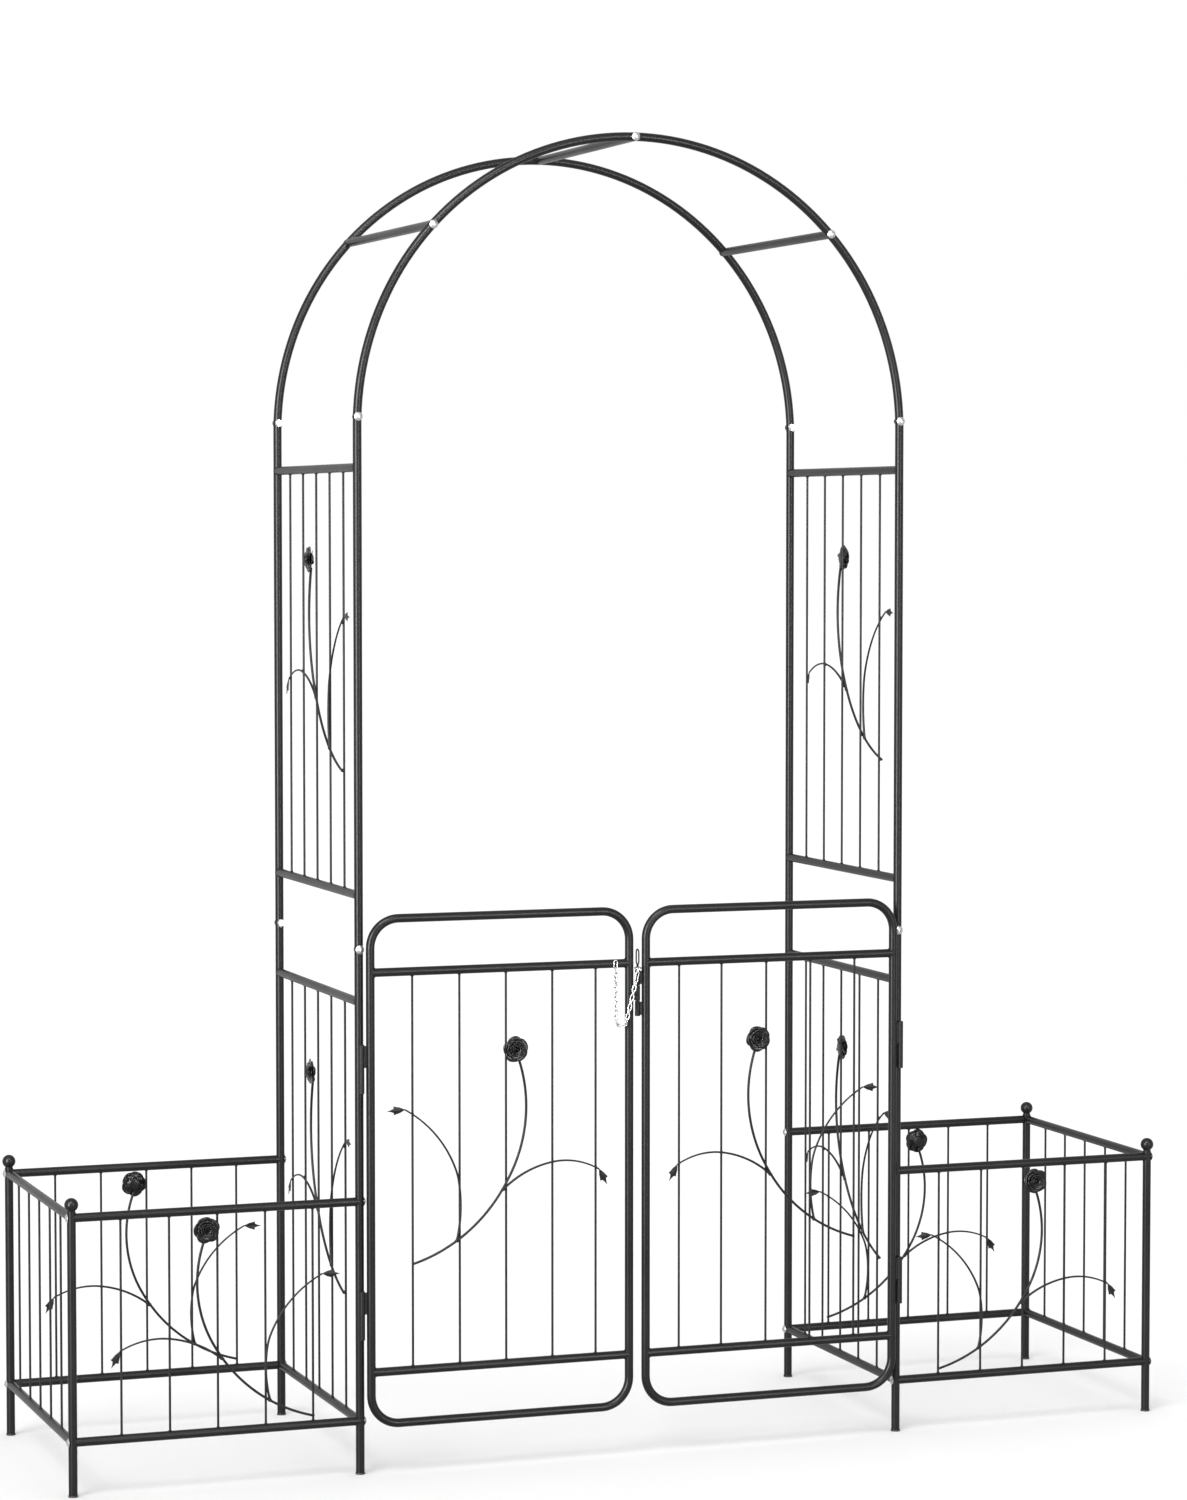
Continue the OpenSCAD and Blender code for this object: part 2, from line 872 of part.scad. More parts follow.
module planter_rails_right() {
  color(paint) side(1) planter_rails();
}

module planter_wires_left() {
  color(paint) side(-1) planter_wires();
}

module planter_wires_right() {
  color(paint) side(1) planter_wires();
}

module planter_stems_left() {
  color(paint) planter_stems(-1);
}

module planter_stems_right() {
  color(paint) planter_stems(1);
}

module arch_front_left() {
  color(paint) quarter_left(yf);
}

module arch_front_right() {
  color(paint) quarter_right(yf);
}

module arch_back_left() {
  color(paint) quarter_left(yb);
}

module arch_back_right() {
  color(paint) quarter_right(yb);
}

module arch_crossbars() {
  color(paint) crossbars();
}

module ball_finials() {
  color(paint) finials();
}

module foot_caps() {
  color(black) caps();
}

module panel_roses() {
  color(paint) fixed_roses();
}

module panel_leaves() {
  color(paint) fixed_leaves();
}

module joint_bolts() {
  color(zinc) swage_bolts();
}

module joint_nuts() {
  color(zinc) swage_nuts();
}

module rail_bolts() {
  color(zinc) end_bolts();
}

module thread_inserts() {
  color(zinc) plugs();
}

module hinge_sockets() {
  color(paint) post_knuckles();
}

module hinge_pins() {
  color(paint) pins();
}

module gate_frame_left() {
  color(paint) side(-1) gate_frame_one();
}

module gate_frame_right() {
  color(paint) side(1) gate_frame_one();
}

module gate_crossbars_left() {
  color(paint) side(-1) gate_crossbars_one();
}

module gate_crossbars_right() {
  color(paint) side(1) gate_crossbars_one();
}

module gate_wires_left() {
  color(paint) side(-1) gate_wires_one();
}

module gate_wires_right() {
  color(paint) side(1) gate_wires_one();
}

module gate_stem_left() {
  color(paint) gate_stem(-1);
}

module gate_stem_right() {
  color(paint) gate_stem(1);
}

module gate_rose_left() {
  color(paint) side(-1) gate_rose_one(rose_out_left);
}

module gate_rose_right() {
  color(paint) side(1) gate_rose_one(rose_out_right);
}

module gate_leaves_left() {
  color(paint) side(-1) gate_leaves_one();
}

module gate_leaves_right() {
  color(paint) side(1) gate_leaves_one();
}

module gate_knuckles_left() {
  color(paint) side(-1) gate_knuckles_one();
}

module gate_knuckles_right() {
  color(paint) side(1) gate_knuckles_one();
}

module latch_barrel_left() {
  color(paint) latch_barrel(latch_z + latch_pitch, -1);
}

module latch_barrels_right() {
  color(paint) for (z = [latch_z, latch_z + 2 * latch_pitch]) latch_barrel(z, 1);
}

module chain_anchor() {
  color(zinc) anchor_link();
}

module latch_pin() {
  color(zinc) drop_pin();
}

module latch_ring() {
  color(zinc) ring_on_neck();
}

module latch_chain() {
  color(zinc) chain();
}

lower_frame_left();
lower_frame_right();
lower_wires_left();
lower_wires_right();
lower_stem_left();
lower_stem_right();
upper_frame_left();
upper_frame_right();
upper_wires_left();
upper_wires_right();
upper_stem_left();
upper_stem_right();
planter_end_left();
planter_end_right();
planter_end_wires_left();
planter_end_wires_right();
planter_rails_left();
planter_rails_right();
planter_wires_left();
planter_wires_right();
planter_stems_left();
planter_stems_right();
arch_front_left();
arch_front_right();
arch_back_left();
arch_back_right();
arch_crossbars();
ball_finials();
foot_caps();
panel_roses();
panel_leaves();
joint_bolts();
joint_nuts();
rail_bolts();
thread_inserts();
hinge_sockets();
hinge_pins();
gate_frame_left();
gate_frame_right();
gate_crossbars_left();
gate_crossbars_right();
gate_wires_left();
gate_wires_right();
gate_stem_left();
gate_stem_right();
gate_rose_left();
gate_rose_right();
gate_leaves_left();
gate_leaves_right();
gate_knuckles_left();
gate_knuckles_right();
latch_barrel_left();
latch_barrels_right();
chain_anchor();
latch_pin();
latch_ring();
latch_chain();
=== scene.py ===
import bpy
import json
import math
from collections import namedtuple
from mathutils import Matrix, Vector, noise


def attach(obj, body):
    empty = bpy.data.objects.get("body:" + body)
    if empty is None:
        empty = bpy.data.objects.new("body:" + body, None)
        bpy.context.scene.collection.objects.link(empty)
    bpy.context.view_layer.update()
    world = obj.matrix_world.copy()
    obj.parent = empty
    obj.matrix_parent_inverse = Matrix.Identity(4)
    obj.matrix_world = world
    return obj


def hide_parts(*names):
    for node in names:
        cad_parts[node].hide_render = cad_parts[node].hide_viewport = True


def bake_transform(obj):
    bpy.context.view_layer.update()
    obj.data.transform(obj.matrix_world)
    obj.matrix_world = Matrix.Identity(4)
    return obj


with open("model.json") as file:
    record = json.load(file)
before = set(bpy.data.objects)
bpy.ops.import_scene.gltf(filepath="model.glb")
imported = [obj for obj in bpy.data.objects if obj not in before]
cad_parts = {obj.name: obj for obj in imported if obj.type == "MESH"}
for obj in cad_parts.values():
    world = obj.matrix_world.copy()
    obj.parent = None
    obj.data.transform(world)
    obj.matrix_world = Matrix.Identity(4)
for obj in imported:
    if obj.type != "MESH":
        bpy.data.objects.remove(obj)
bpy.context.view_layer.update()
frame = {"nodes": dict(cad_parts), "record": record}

nodes = frame["nodes"]
SLOT_OF = {s["node"]: s["material_slot"] for s in frame["record"]["subparts"]}
BODY_OF = {n: body for body, names in frame["record"]["behaviour"]["bodies"].items() for n in names}
MM = 0.001
TURN = 2 * math.pi

# ------------------------------------------------------------------ sizes (m)
# the same design sizes as part.scad
FRONT_Y, BACK_Y, MID_Y = -0.244, 0.260, 0.008
GATE_Y = FRONT_Y - 0.016
ARCH_X, PLANTER_X = 0.5, 1.0                    # posts of the arch, outer posts of the planters
TUBE_R, WIRE_R, STEM_R = 0.0075, 0.0020, 0.0023
GAP = 0.00005                                   # keeps welded pieces just apart
STEM_OUT = WIRE_R + STEM_R + GAP                # a stem's centre in front of the wires' plane

# middles of the rails and crossbars
LOW_Z, PLANTER_Z, MID_Z, UPPER_Z, TOP_Z = 0.092, 0.470, 0.812, 0.994, 1.720
GATE_LOW_Z, GATE_HIGH_Z = 0.177, 0.863
GATE_MEET_X, GATE_HINGE_X = 0.0155, 0.4845      # a gate's two stiles

# wires, across each panel
GATE_WIRES = (0.0775, 0.157, 0.2415, 0.3255, 0.410)
PLANTER_WIRES = [i * (PLANTER_X - ARCH_X) / 6 for i in range(-2, 3)]
SIDE_WIRES = [i * (BACK_Y - FRONT_Y) / 6 for i in range(-2, 3)]

# a stem's bars as chains of arcs, each start, middle and end in mm from the rose
STEM_ARCS = {
    "main": (((-1.8, -14), (-15, -110), (18.5, -207)), ((18.5, -207), (75, -273), (187.5, -330))),
    "short": (((26.5, -221), (-27, -190.5), (-76, -180)), ((-76, -180), (-112, -183), (-149.5, -197))),
    "long": (((110, -298), (103, -245), (108, -195)), ((108, -195), (146.5, -130), (203, -87))),
}
TALL = 1.095                                    # stems of the gates and side panels are this much taller
LEAF_TURN = {"short": 242, "long": -3}          # degrees, on a stem that leans right

# ------------------------------------------------------------------ materials
PAINT_DARK, PAINT_LIGHT = (0.0068, 0.0069, 0.0072), (0.0108, 0.0109, 0.0113)
ZINC_DULL, ZINC_BRIGHT = (0.86, 0.88, 0.91), (1.10, 1.11, 1.13)     # times the plate's own brightness
CAP_DARK, CAP_LIGHT = (0.011, 0.011, 0.011), (0.019, 0.019, 0.019)
FLOOR_DARK, FLOOR_LIGHT = (0.86, 0.86, 0.86), (0.87, 0.87, 0.87)


def new_material(name):
    """An empty node material. Returns it with its tree, its shader and the object coordinates."""
    m = bpy.data.materials.new(name)
    m.use_nodes = True
    nt = m.node_tree
    nt.nodes.clear()
    out = nt.nodes.new("ShaderNodeOutputMaterial")
    bsdf = nt.nodes.new("ShaderNodeBsdfPrincipled")
    nt.links.new(bsdf.outputs["BSDF"], out.inputs["Surface"])
    coords = nt.nodes.new("ShaderNodeTexCoord")
    return m, nt, bsdf, coords.outputs["Object"]


def noise_tex(nt, vec, scale, detail=3.0, rough=0.5, stretch=None):
    if stretch is not None:
        mapping = nt.nodes.new("ShaderNodeMapping")
        mapping.inputs["Scale"].default_value = stretch
        nt.links.new(vec, mapping.inputs["Vector"])
        vec = mapping.outputs["Vector"]
    n = nt.nodes.new("ShaderNodeTexNoise")
    n.inputs["Scale"].default_value = scale
    n.inputs["Detail"].default_value = detail
    n.inputs["Roughness"].default_value = rough
    nt.links.new(vec, n.inputs["Vector"])
    return n.outputs["Fac"]


def ramp(nt, fac, low, high, dark, light):
    """Blends dark into light while fac goes from low to high."""
    r = nt.nodes.new("ShaderNodeValToRGB")
    first, last = r.color_ramp.elements
    first.position, first.color = low, (*dark, 1)
    last.position, last.color = high, (*light, 1)
    nt.links.new(fac, r.inputs["Fac"])
    return r.outputs["Color"]


def map_range(nt, fac, low, high):
    """Stretches the middle of a noise, 0.3 to 0.7, to low to high."""
    r = nt.nodes.new("ShaderNodeMapRange")
    r.inputs["From Min"].default_value = 0.3
    r.inputs["From Max"].default_value = 0.7
    r.inputs["To Min"].default_value = low
    r.inputs["To Max"].default_value = high
    nt.links.new(fac, r.inputs["Value"])
    return r.outputs["Result"]


def bump(nt, bsdf, layers):
    """Stacks bump layers: (height socket, strength, distance)."""
    below = None
    for height, strength, distance in layers:
        b = nt.nodes.new("ShaderNodeBump")
        b.inputs["Strength"].default_value = strength
        b.inputs["Distance"].default_value = distance
        nt.links.new(height, b.inputs["Height"])
        if below is not None:
            nt.links.new(below, b.inputs["Normal"])
        below = b.outputs["Normal"]
    nt.links.new(below, bsdf.inputs["Normal"])


def powder_coat(name, tone=1.0, rough=(0.30, 0.40), peel=0.10, gloss=0.18):
    """Satin black powder coat: faint orange peel, and slow cloudy changes in tone and gloss."""
    m, nt, bsdf, vec = new_material(name)
    cloud = noise_tex(nt, vec, 7.0, 4.0, 0.55)
    fine = noise_tex(nt, vec, 900.0, 2.0, 0.5)
    grit = noise_tex(nt, vec, 2600.0, 1.0, 0.5)
    dark = tuple(c * tone for c in PAINT_DARK)
    light = tuple(c * tone for c in PAINT_LIGHT)
    nt.links.new(ramp(nt, cloud, 0.32, 0.68, dark, light), bsdf.inputs["Base Color"])
    nt.links.new(map_range(nt, cloud, *rough), bsdf.inputs["Roughness"])
    bsdf.inputs["Specular IOR Level"].default_value = gloss
    bump(nt, bsdf, ((fine, peel, 0.0004), (grit, peel * 0.5, 0.0002)))
    return m


def zinc(name, base, rough=(0.24, 0.40), scale=1.0):
    """Bright zinc plate: crystalline patches, fine scratches, slightly blue."""
    m, nt, bsdf, vec = new_material(name)
    patch = noise_tex(nt, vec, 420.0 * scale, 3.0, 0.6)
    scratch = noise_tex(nt, vec, 1500.0 * scale, 2.0, 0.6, (1.0, 0.15, 1.0))
    dull = tuple(base * c for c in ZINC_DULL)
    bright = tuple(base * c for c in ZINC_BRIGHT)
    nt.links.new(ramp(nt, patch, 0.3, 0.7, dull, bright), bsdf.inputs["Base Color"])
    nt.links.new(map_range(nt, scratch, *rough), bsdf.inputs["Roughness"])
    bsdf.inputs["Metallic"].default_value = 1.0
    bump(nt, bsdf, ((scratch, 0.08, 0.0002), (patch, 0.10, 0.0003)))
    return m


def cap_plastic(name):
    """Black moulded end cap: matte, with a spark-eroded grain."""
    m, nt, bsdf, vec = new_material(name)
    grain = noise_tex(nt, vec, 1800.0, 3.0, 0.6)
    cloud = noise_tex(nt, vec, 60.0, 2.0, 0.5)
    nt.links.new(ramp(nt, cloud, 0.3, 0.7, CAP_DARK, CAP_LIGHT), bsdf.inputs["Base Color"])
    nt.links.new(map_range(nt, grain, 0.55, 0.72), bsdf.inputs["Roughness"])
    bump(nt, bsdf, ((grain, 0.22, 0.0004),))
    return m


def pale_floor(name):
    m, nt, bsdf, vec = new_material(name)
    cloud = noise_tex(nt, vec, 1.2, 2.0, 0.5)
    nt.links.new(ramp(nt, cloud, 0.3, 0.7, FLOOR_DARK, FLOOR_LIGHT), bsdf.inputs["Base Color"])
    bsdf.inputs["Roughness"].default_value = 0.9
    bsdf.inputs["Specular IOR Level"].default_value = 0.05
    return m


MATS = {
    "tube_paint": powder_coat("paint_tube"),
    "wire_paint": powder_coat("paint_wire", 1.0, (0.36, 0.48), 0.08),
    "stem_paint": powder_coat("paint_stem", 1.0, (0.34, 0.46), 0.16),
    "rose_paint": powder_coat("paint_rose", 0.7, (0.20, 0.30), 0.14, 0.22),
    "fitting_paint": powder_coat("paint_fitting", 0.95, (0.34, 0.46), 0.12),
    "pin_paint": powder_coat("paint_pin", 0.7, (0.42, 0.54), 0.12, 0.07),
    "bolt_zinc": zinc("zinc_bolt", 0.42),
    "nut_zinc": zinc("zinc_nut", 0.38),
    "chain_zinc": zinc("zinc_chain", 0.40, (0.20, 0.34), 1.6),
    "cap_plastic": cap_plastic("plastic_cap"),
}

for name, obj in nodes.items():
    obj.data.materials.clear()
    obj.data.materials.append(MATS[SLOT_OF[name]])

# the latch pin is painted black, a little duller than the barrels round it
nodes["latch_pin"].data.materials[0] = MATS["pin_paint"]

# ------------------------------------------------------------------ mesh tools


class Builder:
    """Gathers shapes into one mesh."""

    def __init__(self):
        self.verts, self.faces = [], []

    def add(self, verts, faces, matrix=None):
        n = len(self.verts)
        if matrix is None:
            self.verts.extend(Vector(v) for v in verts)
        else:
            self.verts.extend(matrix @ Vector(v) for v in verts)
            if matrix.to_3x3().determinant() < 0:
                faces = [tuple(reversed(f)) for f in faces]
        self.faces.extend(tuple(i + n for i in f) for f in faces)

    def mesh(self, name):
        me = bpy.data.meshes.new(name)
        me.from_pydata(self.verts, [], self.faces)
        me.validate()
        me.polygons.foreach_set("use_smooth", [True] * len(me.polygons))
        me.update()
        return me

    def object(self, name, material_slot, body=None, replaces=()):
        ob = bpy.data.objects.new(name, self.mesh(name))
        bpy.context.scene.collection.objects.link(ob)
        ob.data.materials.append(MATS[material_slot])
        if replaces:
            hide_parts(*replaces)
        if body:
            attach(ob, body)
        return ob


def ring_faces(rings, segs, closed=False):
    """Faces between rings of segs points. A closed run joins its last ring to its first."""
    faces = []
    for i in range(rings if closed else rings - 1):
        here, there = i * segs, (i + 1) % rings * segs
        for k in range(segs):
            l = (k + 1) % segs
            faces.append((here + k, here + l, there + l, there + k))
    return faces


def sheet(front, back, width):
    """Thin closed sheet. front and back are grids of points in rows of width, one behind the other."""
    n = len(front)
    rows = n // width
    faces = []
    for i in range(rows - 1):
        for j in range(width - 1):
            a, b = i * width + j, (i + 1) * width + j
            faces.append((a, b, b + 1, a + 1))
            faces.append((n + a, n + a + 1, n + b + 1, n + b))
        left, right = i * width, (i + 1) * width - 1
        faces.append((left, n + left, n + left + width, left + width))
        faces.append((right, right + width, n + right + width, n + right))
    last = (rows - 1) * width
    for j in range(width - 1):
        faces.append((j, j + 1, n + j + 1, n + j))
        faces.append((last + j + 1, last + j, n + last + j, n + last + j + 1))
    return front + back, faces


def end_cap(verts, ring, segs, centre, direction, radius):
    """Rounds off a bar at the ring that starts at index ring, pushed out along direction."""
    cap = len(verts)
    rim = [centre + (verts[ring + k] - centre) * 0.6 + direction * (radius * 0.32) for k in range(segs)]
    verts.extend(rim)
    verts.append(centre + direction * (radius * 0.4))
    faces = []
    for k in range(segs):
        l = (k + 1) % segs
        faces.append((ring + k, ring + l, cap + l, cap + k))
        faces.append((cap + k, cap + l, cap + segs))
    return faces


def sweep(points, radii, segs, closed=False, up=None):
    """Round bar along points, with one radius for each, turning as little as it can."""
    pts = [Vector(p) for p in points]
    n = len(pts)
    along = []
    for i in range(n):
        a = pts[i - 1] if (i > 0 or closed) else pts[i]
        b = pts[(i + 1) % n] if (i < n - 1 or closed) else pts[i]
        along.append((b - a).normalized())
    if up is None:
        up = (0, 0, 1) if abs(along[0].z) < 0.9 else (0, 1, 0)
    ref = Vector(up)
    across = (ref - along[0] * ref.dot(along[0])).normalized()
    verts = []
    for i in range(n):
        if i:
            across = (along[i - 1].rotation_difference(along[i]) @ across).normalized()
        third = along[i].cross(across)
        for k in range(segs):
            a = TURN * k / segs
            verts.append(pts[i] + (across * math.cos(a) + third * math.sin(a)) * radii[i])
    faces = ring_faces(n, segs, closed)
    if not closed:
        last = (n - 1) * segs
        start = end_cap(verts, 0, segs, pts[0], -along[0], radii[0])
        faces += [tuple(reversed(f)) for f in start]
        faces += end_cap(verts, last, segs, pts[-1], along[-1], radii[-1])
    return verts, faces


def circle_through(a, b, c):
    """Middle of the circle through three points in a plane."""
    d = 2 * (a[0] * (b[1] - c[1]) + b[0] * (c[1] - a[1]) + c[0] * (a[1] - b[1]))
    qa, qb, qc = (p[0] ** 2 + p[1] ** 2 for p in (a, b, c))
    return (
        (qa * (b[1] - c[1]) + qb * (c[1] - a[1]) + qc * (a[1] - b[1])) / d,
        (qa * (c[0] - b[0]) + qb * (a[0] - c[0]) + qc * (b[0] - a[0])) / d,
    )


def arc_points(a, b, c, step):
    """Points about step apart on the arc from a through b to c."""
    m = circle_through(a, b, c)
    r = math.dist(a, m)
    start = math.atan2(a[1] - m[1], a[0] - m[0])
    end = math.atan2(c[1] - m[1], c[0] - m[0])
    turns_left = (b[0] - a[0]) * (c[1] - b[1]) - (b[1] - a[1]) * (c[0] - b[0]) > 0
    angle = (end - start) % TURN if turns_left else -((start - end) % TURN)
    n = max(4, int(abs(angle) * r / step))
    turns = [start + angle * i / n for i in range(n + 1)]
    return [(m[0] + r * math.cos(t), m[1] + r * math.sin(t)) for t in turns]


def smooth_line(pts, rounds=6):
    """Eases the places where arcs meet. The ends stay."""
    pts = [Vector(p) for p in pts]
    for _ in range(rounds):
        new = pts[:]
        for i in range(1, len(pts) - 1):
            new[i] = (pts[i - 1] + pts[i] * 2 + pts[i + 1]) / 4
        pts = new
    return pts


def lump(seed, squash, r):
    """A small uneven weld spot."""
    rings, segs = 6, 10
    verts = []
    for i in range(rings + 1):
        down = math.pi * i / rings
        for k in range(segs):
            a = TURN * k / segs
            v = Vector((math.sin(down) * math.cos(a), math.sin(down) * math.sin(a), math.cos(down)))
            uneven = 1 + 0.14 * noise.noise(v * 1.7 + Vector((seed, seed * 0.7, 0)))
            verts.append(v * Vector(squash) * (r * uneven))
    return verts, [f[::-1] for f in ring_faces(rings + 1, segs)]


# ------------------------------------------------------------------ rose
Ring = namedtuple("Ring", "count turn half inner outer low high curl")
PETALS = (                                      # radians, degrees, then mm
    Ring(5, 0.30, 58, 6.4, 23.4, 1.6, 7.9, 1.0),
    Ring(5, 0.95, 56, 5.6, 17.4, 2.2, 10.9, 0.7),
    Ring(4, 0.20, 66, 4.8, 12.3, 3.0, 12.7, 0.5),
    Ring(3, 0.80, 84, 3.6, 8.3, 4.4, 13.2, 0.4),
)
SEPALS = Ring(5, 0.65, 15, 7.4, 19.5, 1.0, 3.4, 0.2)
CALYX = ((0, 0.15), (7.0, 0.15), (8.8, 0.5), (9.6, 1.4), (8.8, 2.6), (7.2, 4.2), (5.2, 6.6), (0, 7.2))
PETAL_THICK, BUD_THICK = 0.55, 0.5


def petal(ring, i, seed, twist=1.1, thick=PETAL_THICK):
    """The ring's petal number i: a lipped sheet that curves up and out from the middle, in mm."""
    nu, nv = 14, 9
    width = nu + 1
    facing = ring.turn + TURN * i / ring.count
    half = math.radians(ring.half)
    mid = []
    for j in range(nv + 1):
        for k in range(width):
            u = 2 * k / nu - 1
            v = j / nv
            out = v * (1 - 0.17 * abs(u) ** 3.2)
            wave = noise.noise(Vector((u * 1.6 + seed * 3.1, v * 1.3, seed)))
            lip = max(0, (out - 0.74) / 0.26)
            a = facing + u * half * (0.72 + 0.28 * math.sin(math.pi * min(1, out * 0.9 + 0.1)))
            r = ring.inner + (ring.outer - ring.inner) * (0.42 * out + 0.58 * out ** 2.4)
            r += twist * u + 0.6 * wave * out
            r *= 1 - 0.05 * lip * (0.5 + 0.5 * math.cos(u * 2.6 + seed))
            z = ring.low + (ring.high - ring.low) * (1 - (1 - out) ** 1.9) - ring.curl * lip ** 2
            z += (0.7 * wave + 0.6 * u) * out
            mid.append(Vector((r * math.cos(a), r * math.sin(a), z)))
    front, back = [], []
    for j in range(nv + 1):
        for k in range(width):
            up = mid[min(j + 1, nv) * width + k] - mid[max(j - 1, 0) * width + k]
            across = mid[j * width + min(k + 1, nu)] - mid[j * width + max(k - 1, 0)]
            thin = 0.45 if (k in (0, nu) or j == nv) else 1.0
            offset = across.cross(up).normalized() * (thick * 0.5 * thin)
            front.append(mid[j * width + k] - offset)
            back.append(mid[j * width + k] + offset)
    return sheet(front, back, width)


def bud():
    """One strip wound round the middle, in mm."""
    turns, n, rows, low, high = 2.4, 76, 8, 6.2, 13.7
    outer, inner = [], []
    for i in range(n + 1):
        t = i / n
        a = 0.6 + t * turns * TURN
        for j in range(rows + 1):
            v = j / rows
            r = (1.0 + 4.9 * t) * (0.82 + 0.30 * v - 0.16 * v ** 4)
            z = low + (high - 0.9 * t - low) * v
            for side, points in ((1, outer), (-1, inner)):
                rr = r + side * BUD_THICK / 2
                points.append(Vector((rr * math.cos(a), rr * math.sin(a), z)))
    return sheet(outer, inner, rows + 1)


def calyx():
    """Five-sided cup behind the petals, in mm."""
    segs = 30
    verts = []
    for r, z in CALYX:
        for k in range(segs):
            a = TURN * k / segs
            rr = r * (1 + 0.06 * math.cos(5 * a))
            verts.append(Vector((rr * math.cos(a), rr * math.sin(a), z)))
    return verts, ring_faces(len(CALYX), segs)


def rose_shape():
    """Pressed-steel rose: rings of lipped petals round a rolled bud, on a calyx. Back on z = 0, in m."""
    b = Builder()
    size = Matrix.Scale(MM, 4)
    seed = 0.0
    for ring in PETALS:
        for i in range(ring.count):
            seed += 1.37
            b.add(*petal(ring, i, seed), size)
    b.add(*bud(), size)
    b.add(*calyx(), size)
    for i in range(SEPALS.count):
        b.add(*petal(SEPALS, i, 20 + i, 0.0, 0.5), size)
    me = b.mesh("rose_shape")
    return [v.co.copy() for v in me.vertices], [tuple(p.vertices) for p in me.polygons]


# ------------------------------------------------------------------ leaf
LEAF_LEN, LEAF_THICK = 31, 1.1                  # mm
LEAF_EDGE = (                                   # mm along the leaf, half its width there
    (0.8, 0.9), (4.0, 2.4), (9.0, 4.8), (15.0, 6.2), (19.5, 7.8), (20.3, 3.6), (25.0, 1.7), (LEAF_LEN, 0.25),
)
LEAF_ACROSS = (-1, -0.8, -0.55, -0.3, -0.12, 0, 0.12, 0.3, 0.55, 0.8, 1)
SIDE_VEINS = (4, 8.5, 13, 17)


def leaf_height(x, t, y, seed):
    """Height of the leaf's middle surface: bent along its length, with a midrib and side veins."""
    z = 0.9 * math.sin(math.pi * min(1, x / LEAF_LEN)) - 0.13 * abs(y)
    z += 0.5 * math.exp(-((y / 0.7) ** 2)) * (1 - x / 34)
    for vein in SIDE_VEINS:
        d = x - (vein + abs(y) * 0.75)
        z += 0.22 * math.exp(-((d / 0.55) ** 2)) * (1 - abs(t)) ** 0.5
    return z + 0.35 * noise.noise(Vector((x * 0.12, y * 0.2, seed)))


def leaf_shape(seed):
    """Stamped three-pointed leaf, in m. It points along +X, with its stalk at 0."""
    rows = []
    for (x0, w0), (x1, w1) in zip(LEAF_EDGE, LEAF_EDGE[1:]):
        rows += [(x0 + (x1 - x0) * t / 3, w0 + (w1 - w0) * t / 3) for t in range(3)]
    rows.append(LEAF_EDGE[-1])
    front, back = [], []
    for x, w in rows:
        for t in LEAF_ACROSS:
            z = leaf_height(x, t, t * w, seed)
            half = LEAF_THICK * 0.5 * (0.35 if abs(t) == 1 else 1.0)
            front.append(Vector((x, t * w, z + half)) * MM)
            back.append(Vector((x, t * w, z * 0.75 - half)) * MM)
    return sheet(front, back, len(LEAF_ACROSS))


# ------------------------------------------------------------------ panels
# a panel's own frame: x across, y up, z out of the panel
# place: that frame in the object. lean: 1 if the stem leans right, -1 if left. tall: stretch of its height
Panel = namedtuple("Panel", "place rose lean tall wires stem_node rose_node leaf_node body")
PLANTER_ROSE, GATE_ROSE = (0.0205, 0.438), (0.222, 0.722)
LOW_ROSE, UP_ROSE = (0.017, 0.660), (0.017, 1.563)
ROSE_OUT = {"gate_rose_left": 0.0045, "gate_rose_right": 0.001}     # welded this far outside the stem
SAME, MIRROR = Matrix.Identity(4), Matrix.Diagonal((-1, 1, 1, 1))


def face_front(y):
    return Matrix.Translation((0, y, 0)) @ Matrix.Rotation(math.pi / 2, 4, "X")


def face_back(y):
    flip = Matrix.Diagonal((1, -1, 1, 1))
    return Matrix.Translation((0, y, 0)) @ flip @ Matrix.Rotation(math.pi / 2, 4, "X")


def face_right(x):
    turn = Matrix(((0, 0, 1, 0), (1, 0, 0, 0), (0, 1, 0, 0), (0, 0, 0, 1)))
    return Matrix.Translation((x, MID_Y, 0)) @ turn


def panels_of(side, mirror):
    """The five panels with a rose on one side: planter front and back, lower and upper side, gate."""
    planter = mirror @ Matrix.Translation(((ARCH_X + PLANTER_X) / 2, 0, 0))
    fixed = ("panel_roses", "panel_leaves", "frame")
    planter_rest = (PLANTER_ROSE, -1, 1, PLANTER_WIRES, "planter_stems_" + side, *fixed)
    outward = mirror @ face_right(ARCH_X)
    return [
        Panel(planter @ face_front(FRONT_Y), *planter_rest),
        Panel(planter @ face_back(BACK_Y), *planter_rest),
        Panel(outward, LOW_ROSE, -1, TALL, SIDE_WIRES, "lower_stem_" + side, *fixed),
        Panel(outward, UP_ROSE, -1, TALL, SIDE_WIRES, "upper_stem_" + side, *fixed),
        Panel(
            mirror @ face_front(GATE_Y), GATE_ROSE, 1, TALL, GATE_WIRES,
            "gate_stem_" + side, "gate_rose_" + side, "gate_leaves_" + side, "gate_" + side,
        ),
    ]


def bar_lines(panel):
    """The three bars of a panel's stem as smooth lines in the panel's own frame."""
    x, y = panel.rose
    lines = {}
    for name, arcs in STEM_ARCS.items():
        pts = []
        for arc in arcs:
            ends = [(x + panel.lean * p[0] * MM, y + panel.tall * p[1] * MM) for p in arc]
            run = arc_points(*ends, 0.004)
            pts += run[1:] if pts else run
        lines[name] = smooth_line([(px, py, STEM_OUT) for px, py in pts])
    return lines


